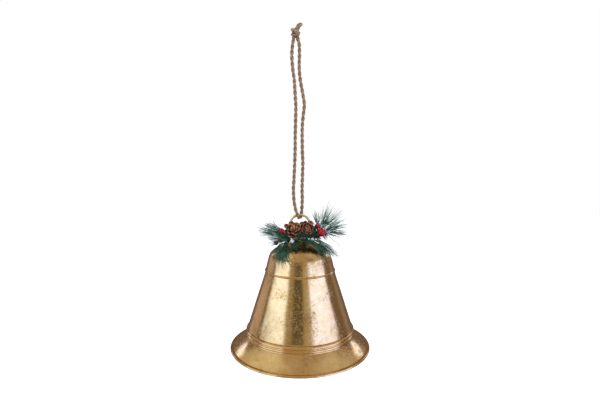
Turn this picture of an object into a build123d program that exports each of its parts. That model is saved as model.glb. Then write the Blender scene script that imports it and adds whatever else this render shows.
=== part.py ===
from build123d import *

import os
from math import cos, radians, sin, sqrt, tan

# A hanging bell ornament in sheet brass. It hangs by a doubled jute cord from a wire ring, and a
# cluster of pine cones, berries and pine sprigs is wired to its crown. A clapper hangs inside.
#
# Frame: the origin is the centre of the mouth, on the plane that the rim rests on. +Z runs up the
# hanging axis, -Y is the front, and the hanging ring lies in the XZ plane. Millimetres.

# ---------------------------------------------------------------- driving dimensions
SHEET = 0.9                 # sheet metal thickness of the three bell shells
SEAM_GAP = 0.05             # gap left between pieces that butt together

RIM_RADIUS = 87.0           # outside of the rolled rim
RIM_BEAD = 1.5              # radius of the rolled rim
RIM_SINK = 0.2              # how much of the rolled rim is worn flat underneath
FLARE_TOP_RADIUS = 66.0     # outside of the flare where it leaves the double bead
FLARE_TOP_Z = 17.6
FLARE_HOLLOW = 1.3          # how far the flare bows inwards from a straight line
LOWER_RIDGE_Z = 19.4
UPPER_RIDGE_Z = 23.6
RIDGE = 1.7                 # radius of each ridge of the double bead

CONE_BASE_RADIUS = 65.4     # outside of the cone where it meets the skirt
CONE_BASE_Z = 25.6
CONE_TOP_RADIUS = 42.4
CONE_TOP_Z = 97.0
SEAM_WIDTH_DEG = 5.0        # lap seam down the back of the cone
SEAM_HEIGHT = 0.7

CROWN_Z = 131.0             # top of the dome
CROWN_RADIUS = 67.8         # gentle curvature of the crown
CROWN_SWEEP = 26.3
SHOULDER_RADIUS = 17.3
DOME_TAPER = 13.5           # slope of the dome's side from the vertical
SOLDER_BEAD = 0.9           # radius of the raised bead that joins dome and cone

RING_RADIUS = 12.2          # centre line of the hanging ring
RING_WIRE = 1.5             # radius of its wire
RING_Z = 153.1              # height of its centre

EYE_WIRE = 1.25             # radius of the crown eye's wire
EYE_RADIUS = 4.25           # centre line of both its eyes
HANG_GAP = 0.15             # slack where one wire hangs on another
INNER_EYE_Z = 119.0         # centre of the eye under the crown
FIT = 0.05                  # radial clearance around the crown eye's shank

WASHER_RADIUS = 6.0
WASHER_THICK = 1.0
PUSH_NUT_RADIUS = 3.4
PUSH_NUT_HEIGHT = 2.4

LINK_WIRE = 1.0             # radius of the clapper link's wire and of the clapper rod
LINK_RADIUS = 4.0
ROD_EYE_RADIUS = 3.5
BALL_RADIUS = 13.0
BALL_Z = 30.0

CORD_RADIUS = 1.95
CORD_TOP_Z = 380.0          # where both strands enter the knot
KNOT_X = -5.4
KNOT_Z = 383.0
KNOT_HALF_WIDTH = 5.6
KNOT_HALF_HEIGHT = 6.0

PAD_INNER = 6.6             # glue pad around the outer washer
PAD_OUTER = 17.0
PAD_HEIGHT = 3.6
FLORAL_WIRE = 0.42          # radius of the wire that ties the cluster to the crown eye
STEM_WIRE = 0.45            # radius of the berry and cone wires
SPRIG_WIRE = 0.8            # radius of the pine sprigs' wires

os.makedirs("parts", exist_ok=True)

# ---------------------------------------------------------------- derived heights
RING_BOTTOM_Z = RING_Z - RING_RADIUS
RING_TOP_Z = RING_Z + RING_RADIUS
EYE_Z = RING_BOTTOM_Z + RING_WIRE + HANG_GAP + EYE_WIRE - EYE_RADIUS
INNER_EYE_BOTTOM_Z = INNER_EYE_Z - EYE_RADIUS
LINK_Z = INNER_EYE_BOTTOM_Z + EYE_WIRE + HANG_GAP + LINK_WIRE - LINK_RADIUS
LINK_BOTTOM_Z = LINK_Z - LINK_RADIUS
ROD_EYE_Z = LINK_BOTTOM_Z + 2 * LINK_WIRE + HANG_GAP - ROD_EYE_RADIUS
SHANK_HOLE = EYE_WIRE + FIT

# Planes for rings that stand upright: one faces the front, the other faces sideways.
FACING_FRONT = (90, 0, 0)
FACING_SIDE = (0, 90, 0)


def crown_drop(radius):
    """How far the crown has fallen below its top at a distance from the axis."""
    return CROWN_RADIUS - sqrt(CROWN_RADIUS**2 - radius**2)


# ---------------------------------------------------------------- bell shells
with BuildPart() as crown_dome:
    with BuildSketch(Plane.XZ):
        with BuildLine():
            crown = JernArc((0, CROWN_Z), (1, 0), CROWN_RADIUS, -CROWN_SWEEP)
            shoulder = JernArc(crown @ 1, crown % 1, SHOULDER_RADIUS, CROWN_SWEEP + DOME_TAPER - 90)
            side_fall = (shoulder @ 1).Y - CONE_TOP_Z
            dome_foot = (shoulder @ 1).X + side_fall * tan(radians(DOME_TAPER))
            Polyline(shoulder @ 1, (dome_foot, CONE_TOP_Z), (0, CONE_TOP_Z), (0, CROWN_Z))
        make_face()
    revolve(axis=Axis.Z)
    offset(amount=-SHEET, openings=crown_dome.faces().sort_by(Axis.Z)[0])
    with BuildSketch(Plane.XY.offset(CROWN_Z)):
        Circle(SHANK_HOLE)
    extrude(amount=-2 * SHEET, mode=Mode.SUBTRACT)
    # The solder bead stands on the dome's lower edge and hides the joint with the cone.
    with BuildSketch(Plane.XZ):
        with Locations((dome_foot + SOLDER_BEAD / 2, CONE_TOP_Z + SOLDER_BEAD / 2)):
            Circle(SOLDER_BEAD)
        with Locations((0, CONE_TOP_Z)):
            Rectangle(2 * RIM_RADIUS, CONE_TOP_Z, align=(Align.CENTER, Align.MAX), mode=Mode.SUBTRACT)
    revolve(axis=Axis.Z)
crown_dome.part.label = "crown_dome"
export_step(crown_dome.part, "parts/crown_dome.step")

CONE_SLOPE = (CONE_BASE_RADIUS - CONE_TOP_RADIUS) / (CONE_TOP_Z - CONE_BASE_Z)
CONE_WALL = SHEET * sqrt(1 + CONE_SLOPE**2)     # wall thickness measured level

with BuildPart() as cone_body:
    with BuildSketch(Plane.XZ):
        with BuildLine():
            Polyline(
                (CONE_BASE_RADIUS, CONE_BASE_Z),
                (CONE_TOP_RADIUS, CONE_TOP_Z - SEAM_GAP),
                (CONE_TOP_RADIUS - CONE_WALL, CONE_TOP_Z - SEAM_GAP),
                (CONE_BASE_RADIUS - CONE_WALL, CONE_BASE_Z),
                close=True,
            )
        make_face()
    revolve(axis=Axis.Z)
    # The sheet laps over itself down the back.
    seam_start = radians(90 - SEAM_WIDTH_DEG / 2)
    seam_out = Vector(cos(seam_start), sin(seam_start), 0)
    with BuildSketch(Plane(origin=(0, 0, 0), x_dir=seam_out, z_dir=seam_out.cross(Vector(0, 0, 1)))):
        with BuildLine():
            Polyline(
                (CONE_BASE_RADIUS - CONE_WALL / 2, CONE_BASE_Z + 2.0),
                (CONE_TOP_RADIUS - CONE_WALL / 2, CONE_TOP_Z - 2.0),
                (CONE_TOP_RADIUS + SEAM_HEIGHT, CONE_TOP_Z - 2.0),
                (CONE_BASE_RADIUS + SEAM_HEIGHT, CONE_BASE_Z + 2.0),
                close=True,
            )
        make_face()
    revolve(axis=Axis.Z, revolution_arc=SEAM_WIDTH_DEG)
cone_body.part.label = "cone_body"
export_step(cone_body.part, "parts/cone_body.step")

with BuildPart() as flared_skirt:
    with BuildSketch(Plane.XZ):
        rim = Vector(RIM_RADIUS - RIM_BEAD, RIM_BEAD - RIM_SINK)
        flare_top = Vector(FLARE_TOP_RADIUS, FLARE_TOP_Z)
        inward = (rim - flare_top).rotate(Axis.Z, -90).normalized()
        with BuildLine():
            outer = ThreePointArc(flare_top, (flare_top + rim) / 2 + inward * FLARE_HOLLOW, rim)
            inner = ThreePointArc(
                flare_top + inward * SHEET,
                (flare_top + rim) / 2 + inward * (FLARE_HOLLOW + SHEET),
                rim + inward * SHEET,
            )
            Line(outer @ 1, inner @ 1)
            Polyline(
                outer @ 0,
                (FLARE_TOP_RADIUS, CONE_BASE_Z - SEAM_GAP),
                (FLARE_TOP_RADIUS - 2 * SHEET, CONE_BASE_Z - SEAM_GAP),
                inner @ 0,
            )
        make_face()
        for ridge_z in (LOWER_RIDGE_Z, UPPER_RIDGE_Z):
            with Locations((FLARE_TOP_RADIUS - SHEET / 2, ridge_z)):
                Circle(RIDGE)
        with Locations(rim):
            Circle(RIM_BEAD)
        with Locations((RIM_RADIUS, 0)):
            Rectangle(4 * RIM_BEAD, 4 * RIM_BEAD, align=(Align.CENTER, Align.MAX), mode=Mode.SUBTRACT)
    revolve(axis=Axis.Z)
flared_skirt.part.label = "flared_skirt"
export_step(flared_skirt.part, "parts/flared_skirt.step")

# ---------------------------------------------------------------- crown fittings
with BuildPart() as crown_eye:
    with Locations(Location((0, 0, EYE_Z), FACING_SIDE)):
        Torus(EYE_RADIUS, EYE_WIRE)
    with Locations(Location((0, 0, INNER_EYE_Z), FACING_FRONT)):
        Torus(EYE_RADIUS, EYE_WIRE)
    with BuildSketch(Plane.XY.offset(INNER_EYE_Z + EYE_RADIUS)):
        Circle(EYE_WIRE)
    extrude(amount=EYE_Z - INNER_EYE_Z - 2 * EYE_RADIUS)
crown_eye.part.label = "crown_eye"
export_step(crown_eye.part, "parts/crown_eye.step")

INNER_WASHER_Z = CROWN_Z - SHEET - crown_drop(WASHER_RADIUS) - FIT - WASHER_THICK

for washer_name, washer_z in (("outer_washer", CROWN_Z + FIT), ("inner_washer", INNER_WASHER_Z)):
    with BuildPart() as washer:
        with BuildSketch(Plane.XY.offset(washer_z)):
            Circle(WASHER_RADIUS)
            Circle(SHANK_HOLE, mode=Mode.SUBTRACT)
        extrude(amount=WASHER_THICK)
        rim_edges = washer.edges().filter_by(GeomType.CIRCLE).group_by(SortBy.RADIUS)[-1]
        fillet(rim_edges, WASHER_THICK / 4)
    washer.part.label = washer_name
    export_step(washer.part, f"parts/{washer_name}.step")

with BuildPart() as push_nut:
    with BuildSketch(Plane.XY.offset(INNER_WASHER_Z - FIT)):
        Circle(PUSH_NUT_RADIUS)
        Circle(SHANK_HOLE, mode=Mode.SUBTRACT)
    extrude(amount=-PUSH_NUT_HEIGHT)
    chamfer(push_nut.edges().group_by(Axis.Z)[0].group_by(SortBy.RADIUS)[-1], PUSH_NUT_HEIGHT / 4)
push_nut.part.label = "push_nut"
export_step(push_nut.part, "parts/push_nut.step")

with BuildPart() as hanging_ring:
    with Locations(Location((0, 0, RING_Z), FACING_FRONT)):
        Torus(RING_RADIUS, RING_WIRE)
hanging_ring.part.label = "hanging_ring"
export_step(hanging_ring.part, "parts/hanging_ring.step")

# ---------------------------------------------------------------- clapper
with BuildPart() as clapper_link:
    with Locations(Location((0, 0, LINK_Z), FACING_SIDE)):
        Torus(LINK_RADIUS, LINK_WIRE)
clapper_link.part.label = "clapper_link"
export_step(clapper_link.part, "parts/clapper_link.step")

ROD_TOP_Z = ROD_EYE_Z - ROD_EYE_RADIUS
ROD_END_Z = BALL_Z - BALL_RADIUS - 3.0

with BuildPart() as clapper_rod:
    with Locations(Location((0, 0, ROD_EYE_Z), FACING_FRONT)):
        Torus(ROD_EYE_RADIUS, LINK_WIRE)
    with BuildSketch(Plane.XY.offset(ROD_TOP_Z)):
        Circle(LINK_WIRE)
    extrude(amount=ROD_END_Z - ROD_TOP_Z)
clapper_rod.part.label = "clapper_rod"
export_step(clapper_rod.part, "parts/clapper_rod.step")

with BuildPart() as clapper_ball:
    with BuildSketch(Plane.XZ):
        with Locations((0, BALL_Z)):
            Circle(BALL_RADIUS)
        Rectangle(2 * BALL_RADIUS, 4 * BALL_Z, align=(Align.MAX, Align.CENTER), mode=Mode.SUBTRACT)
        Rectangle(LINK_WIRE + FIT, 4 * BALL_Z, align=(Align.MIN, Align.CENTER), mode=Mode.SUBTRACT)
    revolve(axis=Axis.Z)
clapper_ball.part.label = "clapper_ball"
export_step(clapper_ball.part, "parts/clapper_ball.step")

# A crimped sleeve under the ball keeps it on the rod.
with BuildPart() as clapper_stop:
    with BuildSketch(Plane.XY.offset(BALL_Z - BALL_RADIUS - FIT)):
        Circle(2.5 * LINK_WIRE)
        Circle(LINK_WIRE + FIT, mode=Mode.SUBTRACT)
    extrude(amount=-2.2)
clapper_stop.part.label = "clapper_stop"
export_step(clapper_stop.part, "parts/clapper_stop.step")

# ---------------------------------------------------------------- cord
# One length of cord: the bight wraps the top of the ring, and both strands rise to the knot.
BIGHT_RADIUS = RING_WIRE + CORD_RADIUS + HANG_GAP
BIGHT_SKEW = 1.0            # the cord crosses under the ring a little askew

with BuildPart() as hanging_cord:
    with BuildLine():
        bight = ThreePointArc(
            (-BIGHT_SKEW, -BIGHT_RADIUS, RING_TOP_Z),
            (0, 0, RING_TOP_Z - BIGHT_RADIUS),
            (BIGHT_SKEW, BIGHT_RADIUS, RING_TOP_Z),
        )
        left_strand = Spline(
            (KNOT_X - 1.6, 0, CORD_TOP_Z),
            (-8.9, 0, 362),
            (-5.6, 0, 325),
            (-4.8, 0, 262),
            (-6.4, 0, 210),
            bight @ 0,
            tangents=((-1, 0, -2), bight % 0),
        )
        right_strand = Spline(
            bight @ 1,
            (3.2, 0, 210),
            (2.0, 0, 262),
            (3.4, 0, 304),
            (-2.6, 0, 344),
            (KNOT_X + 2.6, 0, CORD_TOP_Z),
            tangents=(bight % 1, (-1, 0, 2)),
        )
    for run in (bight, left_strand, right_strand):
        with BuildSketch(Plane(origin=run @ 0, z_dir=run % 0)):
            Circle(CORD_RADIUS)
        sweep(path=run)
    # The knot, and the two cut ends that stand out of it.
    with BuildSketch(Plane(origin=(KNOT_X, 0, KNOT_Z), x_dir=(1, 0, 0), z_dir=(0, -1, 0))):
        Ellipse(KNOT_HALF_WIDTH, KNOT_HALF_HEIGHT)
        Rectangle(
            2 * KNOT_HALF_WIDTH, 3 * KNOT_HALF_HEIGHT, align=(Align.MAX, Align.CENTER), mode=Mode.SUBTRACT
        )
    revolve(axis=Axis((KNOT_X, 0, KNOT_Z), (0, 0, 1)))
    for tail_tip in ((2.6, 0, 395.5), (-3.6, 1.5, 393.0)):
        tail = Vector(*tail_tip) - Vector(KNOT_X, 0, KNOT_Z)
        with BuildSketch(Plane(origin=(KNOT_X, 0, KNOT_Z), z_dir=tail)):
            Circle(0.9 * CORD_RADIUS)
        extrude(amount=tail.length)
hanging_cord.part.label = "hanging_cord"
export_step(hanging_cord.part, "parts/hanging_cord.step")

# ---------------------------------------------------------------- cluster on the crown
with BuildPart() as base_pad:
    with BuildSketch(Plane.XZ):
        with BuildLine():
            under = ThreePointArc(
                (PAD_INNER, CROWN_Z + FIT - crown_drop(PAD_INNER)),
                ((PAD_INNER + PAD_OUTER) / 2, CROWN_Z + FIT - crown_drop((PAD_INNER + PAD_OUTER) / 2)),
                (PAD_OUTER, CROWN_Z + FIT - crown_drop(PAD_OUTER)),
            )
            ThreePointArc(
                under @ 0,
                ((PAD_INNER + PAD_OUTER) / 2, (under @ 0.5).Y + PAD_HEIGHT),
                under @ 1,
            )
        make_face()
    revolve(axis=Axis.Z)
base_pad.part.label = "base_pad"
export_step(base_pad.part, "parts/base_pad.step")

with BuildPart() as floral_wire:
    with BuildLine(Plane.XY.offset(CROWN_Z + FIT + WASHER_THICK + FLORAL_WIRE + FIT)):
        coil = Helix(pitch=1.0, height=1.0, radius=EYE_WIRE + FLORAL_WIRE + FIT)
    with BuildSketch(Plane(origin=coil @ 0, z_dir=coil % 0)):
        Circle(FLORAL_WIRE)
    sweep(path=coil, is_frenet=True)
floral_wire.part.label = "floral_wire"
export_step(floral_wire.part, "parts/floral_wire.step")

PINECONE_RADIUS = 9.2
PINECONE_LENGTH = 19.0
TIERS = 6                   # rings of scales, each a step in the outline
STALK_SHARE = 0.45          # width of the stalk end against the widest ring
# node: middle of the stalk end, and the way the tip points
PINECONES = {
    "pinecone_left": ((-8.5, -4.6, 150.0), (-0.16, -0.93, -0.20)),
    "pinecone_right": ((9.0, -3.8, 150.6), (0.12, -0.98, 0.04)),
}

for node, (stalk_end, tip_way) in PINECONES.items():
    base = Plane(origin=stalk_end, x_dir=(1, 0, 0), z_dir=tip_way)
    with BuildPart() as pinecone:
        with BuildSketch(Plane(origin=stalk_end, x_dir=base.x_dir, z_dir=-base.y_dir)):
            with BuildLine():
                outline = [(0, 0), (STALK_SHARE * PINECONE_RADIUS, 0)]
                for tier in range(TIERS):
                    share = (tier + 0.6) / TIERS
                    reach = PINECONE_RADIUS * sin(radians(50 + 110 * share)) ** 0.7
                    outline.append((reach, PINECONE_LENGTH * share))
                    outline.append((0.82 * reach, PINECONE_LENGTH * (share + 0.25 / TIERS)))
                outline.append((0, PINECONE_LENGTH))
                Polyline(*outline, close=True)
            make_face()
        revolve(axis=Axis(stalk_end, tip_way))
    pinecone.part.label = node
    export_step(pinecone.part, f"parts/{node}.step")

# node: centre, radius, and where its stem leaves the pad
BERRIES = {
    "berry_left": ((-22.4, -13.0, 147.3), 3.3, (-8.6, -2.6, 135.6)),
    "berry_right_upper": ((21.6, -6.0, 152.3), 3.2, (8.8, -1.9, 135.4)),
    "berry_right_lower": ((26.0, -16.0, 146.0), 4.7, (6.2, -6.6, 135.6)),
    "dark_berry": ((-28.6, -17.5, 133.5), 2.6, (-4.8, -7.6, 137.2)),
    "frosted_bead": ((-9.4, -21.0, 136.0), 2.3, (-3.1, -8.5, 135.6)),
}
SOCKET_DEPTH = 2.0

with BuildPart() as berry_stems:
    for centre, radius, root in BERRIES.values():
        stem_length = (Vector(*centre) - Vector(*root)).length - radius + SOCKET_DEPTH / 2
        with BuildSketch(Plane(origin=root, z_dir=Vector(*centre) - Vector(*root))):
            Circle(STEM_WIRE)
        extrude(amount=stem_length)
berry_stems.part.label = "berry_stems"
export_step(berry_stems.part, "parts/berry_stems.step")

for node, (centre, radius, root) in BERRIES.items():
    stem_way = (Vector(*root) - Vector(*centre)).normalized()
    with BuildPart() as berry:
        with Locations(Plane(origin=centre, z_dir=stem_way)):
            Sphere(radius)
        with BuildSketch(Plane(origin=Vector(*centre) + stem_way * radius, z_dir=-stem_way)):
            Circle(STEM_WIRE + FIT)
        extrude(amount=SOCKET_DEPTH, mode=Mode.SUBTRACT)
    berry.part.label = node
    export_step(berry.part, f"parts/{node}.step")

# Each cone is held by its own wire, from its stalk end down to the crown eye's neck.
with BuildPart() as pinecone_wires:
    for side, (stalk_end, tip_way) in zip((-1, 1), PINECONES.values()):
        neck = Vector(side * 3.4, -2.6, 134.2)
        under_stalk = Vector(*stalk_end) + Vector(0, 0, -0.2 * PINECONE_RADIUS)
        cone_end = under_stalk - Vector(*tip_way) * 3 * STEM_WIRE
        with BuildSketch(Plane(origin=neck, z_dir=cone_end - neck)):
            Circle(STEM_WIRE)
        extrude(amount=(cone_end - neck).length)
pinecone_wires.part.label = "pinecone_wires"
export_step(pinecone_wires.part, "parts/pinecone_wires.step")

# Each sprig is the closed space its needles fill, along a spine that bends from base to tip.
# node: base, bend, tip, the way the fan is wide, half width
SPRIGS = {
    "sprig_left_upper": ((-16, -5, 139), (-28, -4, 146), (-46, -3, 156), (0.5, 0, -0.85), 6.0),
    "sprig_left_side": ((-18, -10, 136.5), (-32, -12, 140), (-50, -12, 147), (0.3, 0, -0.95), 5.0),
    "sprig_left_droop": ((-13, -14, 134.5), (-22, -28, 132), (-21.5, -38, 113.5), (0.87, -0.5, 0), 9.0),
    "sprig_right_upper": ((16, -1, 139), (25, 2, 152), (42, 2, 174), (0.81, 0, -0.58), 12.0),
    "sprig_right_side": ((17, -4, 136), (36, -4, 142), (58, -6, 147), (0.2, 0, -0.97), 7.0),
    "sprig_right_lower": ((17, -12, 136), (33, -17, 131), (45, -19, 119), (0.55, 0, 0.83), 6.0),
}
FAN_THICKNESS = 2.2         # half thickness of every sprig
# share of the spine: share of the half width
FAN_WIDTHS = {0.0: 0.12, 0.35: 0.7, 0.75: 1.0, 1.0: 0.45}

for node, (base, bend, tip, wide_way, half_width) in SPRIGS.items():
    with BuildPart() as sprig:
        with BuildLine(mode=Mode.PRIVATE):
            spine = Bezier(base, bend, tip)
        for share, width in FAN_WIDTHS.items():
            with BuildSketch(Plane(origin=spine @ share, x_dir=wide_way, z_dir=spine % share)):
                Ellipse(half_width * width, FAN_THICKNESS * (0.4 + 0.6 * width))
        loft()
    sprig.part.label = node
    export_step(sprig.part, f"parts/{node}.step")

PAD_TOP_Z = CROWN_Z + PAD_HEIGHT - crown_drop((PAD_INNER + PAD_OUTER) / 2)

with BuildPart() as sprig_stems:
    for base, bend, tip, wide_way, half_width in SPRIGS.values():
        outward = Vector(base[0], base[1], 0).normalized()
        root = outward * PAD_INNER * 1.8 + Vector(0, 0, PAD_TOP_Z + 1.5 * SPRIG_WIRE)
        stem = Vector(*base) - root
        with BuildSketch(Plane(origin=root, z_dir=stem)):
            Circle(SPRIG_WIRE)
        extrude(amount=stem.length - SPRIG_WIRE)
sprig_stems.part.label = "sprig_stems"
export_step(sprig_stems.part, "parts/sprig_stems.step")
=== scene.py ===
import math
import random

import bpy
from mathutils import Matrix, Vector, noise


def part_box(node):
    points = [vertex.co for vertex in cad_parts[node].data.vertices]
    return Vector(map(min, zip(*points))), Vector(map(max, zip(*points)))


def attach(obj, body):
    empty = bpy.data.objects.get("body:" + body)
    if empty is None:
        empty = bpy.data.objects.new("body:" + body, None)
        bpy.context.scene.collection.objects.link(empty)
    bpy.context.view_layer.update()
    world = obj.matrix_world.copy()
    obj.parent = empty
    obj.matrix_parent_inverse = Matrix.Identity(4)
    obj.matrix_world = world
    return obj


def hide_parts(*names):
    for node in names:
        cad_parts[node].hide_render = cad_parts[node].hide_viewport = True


# A hanging brass bell ornament: three sheet-metal shells, a wire ring, a doubled jute cord, a clapper,
# and a cluster of pine cones, berries and frosted pine sprigs on its crown.
# Lengths in this script are metres. Numbers written in millimetres are multiplied by MM.

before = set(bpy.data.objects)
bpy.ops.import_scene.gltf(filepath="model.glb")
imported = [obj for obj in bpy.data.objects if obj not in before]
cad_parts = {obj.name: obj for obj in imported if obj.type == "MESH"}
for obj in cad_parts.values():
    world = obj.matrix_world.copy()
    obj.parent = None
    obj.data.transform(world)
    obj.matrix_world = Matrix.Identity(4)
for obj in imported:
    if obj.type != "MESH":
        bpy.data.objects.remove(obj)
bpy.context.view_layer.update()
MM = 0.001
TAU = 2 * math.pi


# ================================================================ small geometry helpers
def lerp(a, b, share):
    return a + (b - a) * share


def clamp(value, low=0.0, high=1.0):
    return max(low, min(high, value))


def smooth(value, low, high):
    """0 below low, 1 above high, and an S-curve between."""
    share = clamp((value - low) / (high - low))
    return share * share * (3 - 2 * share)


def mm(*numbers):
    return Vector(numbers) * MM


def bezier(a, b, c, share):
    """A point of the quadratic curve from a to c that bends towards b."""
    return a * (1 - share) ** 2 + b * 2 * share * (1 - share) + c * share**2


def catmull(points, steps):
    """A smooth curve through the points, with the given number of steps between each two."""
    padded = [points[0] * 2 - points[1]] + list(points) + [points[-1] * 2 - points[-2]]
    curve = []
    for k in range(len(points) - 1):
        p0, p1, p2, p3 = padded[k:k + 4]
        for step in range(steps):
            t = step / steps
            curve.append(
                0.5 * (2 * p1 + (p2 - p0) * t + (2 * p0 - 5 * p1 + 4 * p2 - p3) * t**2
                       + (3 * p1 - p0 - 3 * p2 + p3) * t**3)
            )
    curve.append(points[-1])
    return curve


def even_spacing(points, gap):
    """The same curve, with its points a constant distance apart."""
    lengths = [0.0]
    for a, b in zip(points, points[1:]):
        lengths.append(lengths[-1] + (b - a).length)
    count = max(2, round(lengths[-1] / gap))
    even, k = [], 0
    for n in range(count + 1):
        want = lengths[-1] * n / count
        while k < len(points) - 2 and lengths[k + 1] < want:
            k += 1
        span = max(lengths[k + 1] - lengths[k], 1e-9)
        even.append(points[k].lerp(points[k + 1], clamp((want - lengths[k]) / span)))
    return even


def frames_along(points):
    """One (side, up) pair per point, square to the curve and turning as little as possible."""
    tangents = []
    for k in range(len(points)):
        ahead, behind = points[min(k + 1, len(points) - 1)], points[max(k - 1, 0)]
        tangents.append((ahead - behind).normalized())
    side = tangents[0].orthogonal().normalized()
    frames = []
    for tangent in tangents:
        side = (side - tangent * side.dot(tangent)).normalized()
        frames.append((side, tangent.cross(side)))
    return frames


def arc(centre, radius, start, end, steps):
    """Points of a circle in the half-plane of a turned outline, angles in degrees from the level."""
    points = []
    for k in range(steps + 1):
        angle = math.radians(lerp(start, end, k / steps))
        points.append((centre[0] + radius * math.cos(angle), centre[1] + radius * math.sin(angle)))
    return points


def ramp_points(a, b, steps):
    """Points on the straight line from a to b, both ends included."""
    return [(lerp(a[0], b[0], k / steps), lerp(a[1], b[1], k / steps)) for k in range(steps + 1)]


def tube_faces(rows, sides):
    """Faces of a closed tube: rings of the given number of sides, row after row, and two end caps."""
    faces = []
    for row in range(rows - 1):
        for k in range(sides):
            a, b = row * sides + k, row * sides + (k + 1) % sides
            faces.append((a, b, b + sides, a + sides))
    last = (rows - 1) * sides
    faces.append(tuple(reversed(range(sides))))
    faces.append(tuple(last + k for k in range(sides)))
    return faces


class Shape:
    """Grows a mesh. Every vertex carries a tone from 0 to 1, which its material reads."""

    def __init__(self):
        self.verts, self.faces, self.tones = [], [], []

    def add(self, points, faces, tones):
        first = len(self.verts)
        self.verts.extend(points)
        self.faces.extend([tuple(first + k for k in face) for face in faces])
        self.tones.extend(tones)

    def tube(self, points, radii, sides, tones, flat=1.0):
        """A closed tube along the points. flat below 1 makes its section an ellipse."""
        verts, tone_list = [], []
        for point, radius, (side, up), tone in zip(points, radii, frames_along(points), tones):
            for k in range(sides):
                angle = TAU * k / sides
                verts.append(point + side * radius * math.cos(angle) + up * radius * flat * math.sin(angle))
                tone_list.append(tone)
        self.add(verts, tube_faces(len(points), sides), tone_list)

    def lathe(self, outline, segments, shift):
        """Turns a closed (radius, height) outline round Z. shift(point, angle, k) moves each vertex."""
        verts, faces = [], []
        count = len(outline)
        for turn in range(segments):
            angle = TAU * turn / segments
            for k, (radius, height) in enumerate(outline):
                point = Vector((radius * math.cos(angle), radius * math.sin(angle), height))
                verts.append(shift(point, angle, k))
        for turn in range(segments):
            here, there = turn * count, ((turn + 1) % segments) * count
            for k in range(count):
                ahead = (k + 1) % count
                faces.append((here + k, there + k, there + ahead, here + ahead))
        self.add(verts, faces, [0.5] * len(verts))

    def ball(self, centre, radii, rows, columns, shift=None, tone=0.5):
        """A closed ellipsoid. shift(unit direction) is a factor on its radius."""
        verts = []
        for row in range(rows + 1):
            polar = math.pi * row / rows
            for column in range(columns if 0 < row < rows else 1):
                turn = TAU * column / columns
                level = math.sin(polar)
                unit = Vector((level * math.cos(turn), level * math.sin(turn), math.cos(polar)))
                factor = shift(unit) if shift else 1.0
                verts.append(centre + Vector(unit[k] * radii[k] for k in range(3)) * factor)
        faces = []
        for column in range(columns):
            after = (column + 1) % columns
            faces.append((0, 1 + column, 1 + after))
            for row in range(rows - 2):
                a, b = 1 + row * columns + column, 1 + row * columns + after
                faces.append((a, a + columns, b + columns, b))
            low = 1 + (rows - 2) * columns
            faces.append((low + column, len(verts) - 1, low + after))
        self.add(verts, faces, [tone] * len(verts))

    def piece(self, name, material, body, slot, *nodes):
        """Makes the object, which rides on its body and stands for the CAD nodes named."""
        mesh = bpy.data.meshes.new(name)
        mesh.from_pydata([tuple(v) for v in self.verts], [], self.faces)
        tone = mesh.attributes.new("tone", "FLOAT", "POINT")
        tone.data.foreach_set("value", self.tones)
        mesh.polygons.foreach_set("use_smooth", [True] * len(mesh.polygons))
        mesh.validate()
        mesh.update()
        mesh.materials.append(material)
        thing = bpy.data.objects.new(name, mesh)
        bpy.context.scene.collection.objects.link(thing)
        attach(thing, body)
        if nodes:
            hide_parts(*nodes)
        return thing


# ================================================================ node helpers
class Nodes:
    """Adds nodes to a tree in a few readable calls."""

    def __init__(self, tree):
        self.tree = tree

    def make(self, kind, **settings):
        node = self.tree.nodes.new(kind)
        for key, value in settings.items():
            setattr(node, key, value)
        return node

    def join(self, source, target):
        self.tree.links.new(source, target)

    def feed(self, socket, value):
        if isinstance(value, bpy.types.NodeSocket):
            self.join(value, socket)
        else:
            socket.default_value = value

    def span(self, value, low, high, out_low=0.0, out_high=1.0):
        """An S-curve from out_low, where value is low, to out_high, where it is high."""
        node = self.make("ShaderNodeMapRange", interpolation_type="SMOOTHSTEP")
        self.feed(node.inputs["Value"], value)
        limits = (("From Min", low), ("From Max", high), ("To Min", out_low), ("To Max", out_high))
        for name, number in limits:
            self.feed(node.inputs[name], number)
        return node.outputs["Result"]

    def math(self, operation, a, b=0.0):
        node = self.make("ShaderNodeMath", operation=operation)
        self.feed(node.inputs[0], a)
        self.feed(node.inputs[1], b)
        return node.outputs["Value"]

    def mix(self, share, a, b):
        """A colour between a and b, each a socket or a tuple of three."""
        node = self.make("ShaderNodeMix", data_type="RGBA")
        self.feed(node.inputs["Factor"], share)
        for key, value in (("A", a), ("B", b)):
            socket = [s for s in node.inputs if s.name == key and s.type == "RGBA"][0]
            self.feed(socket, value if isinstance(value, bpy.types.NodeSocket) else (*value, 1.0))
        return [s for s in node.outputs if s.type == "RGBA"][0]


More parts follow.
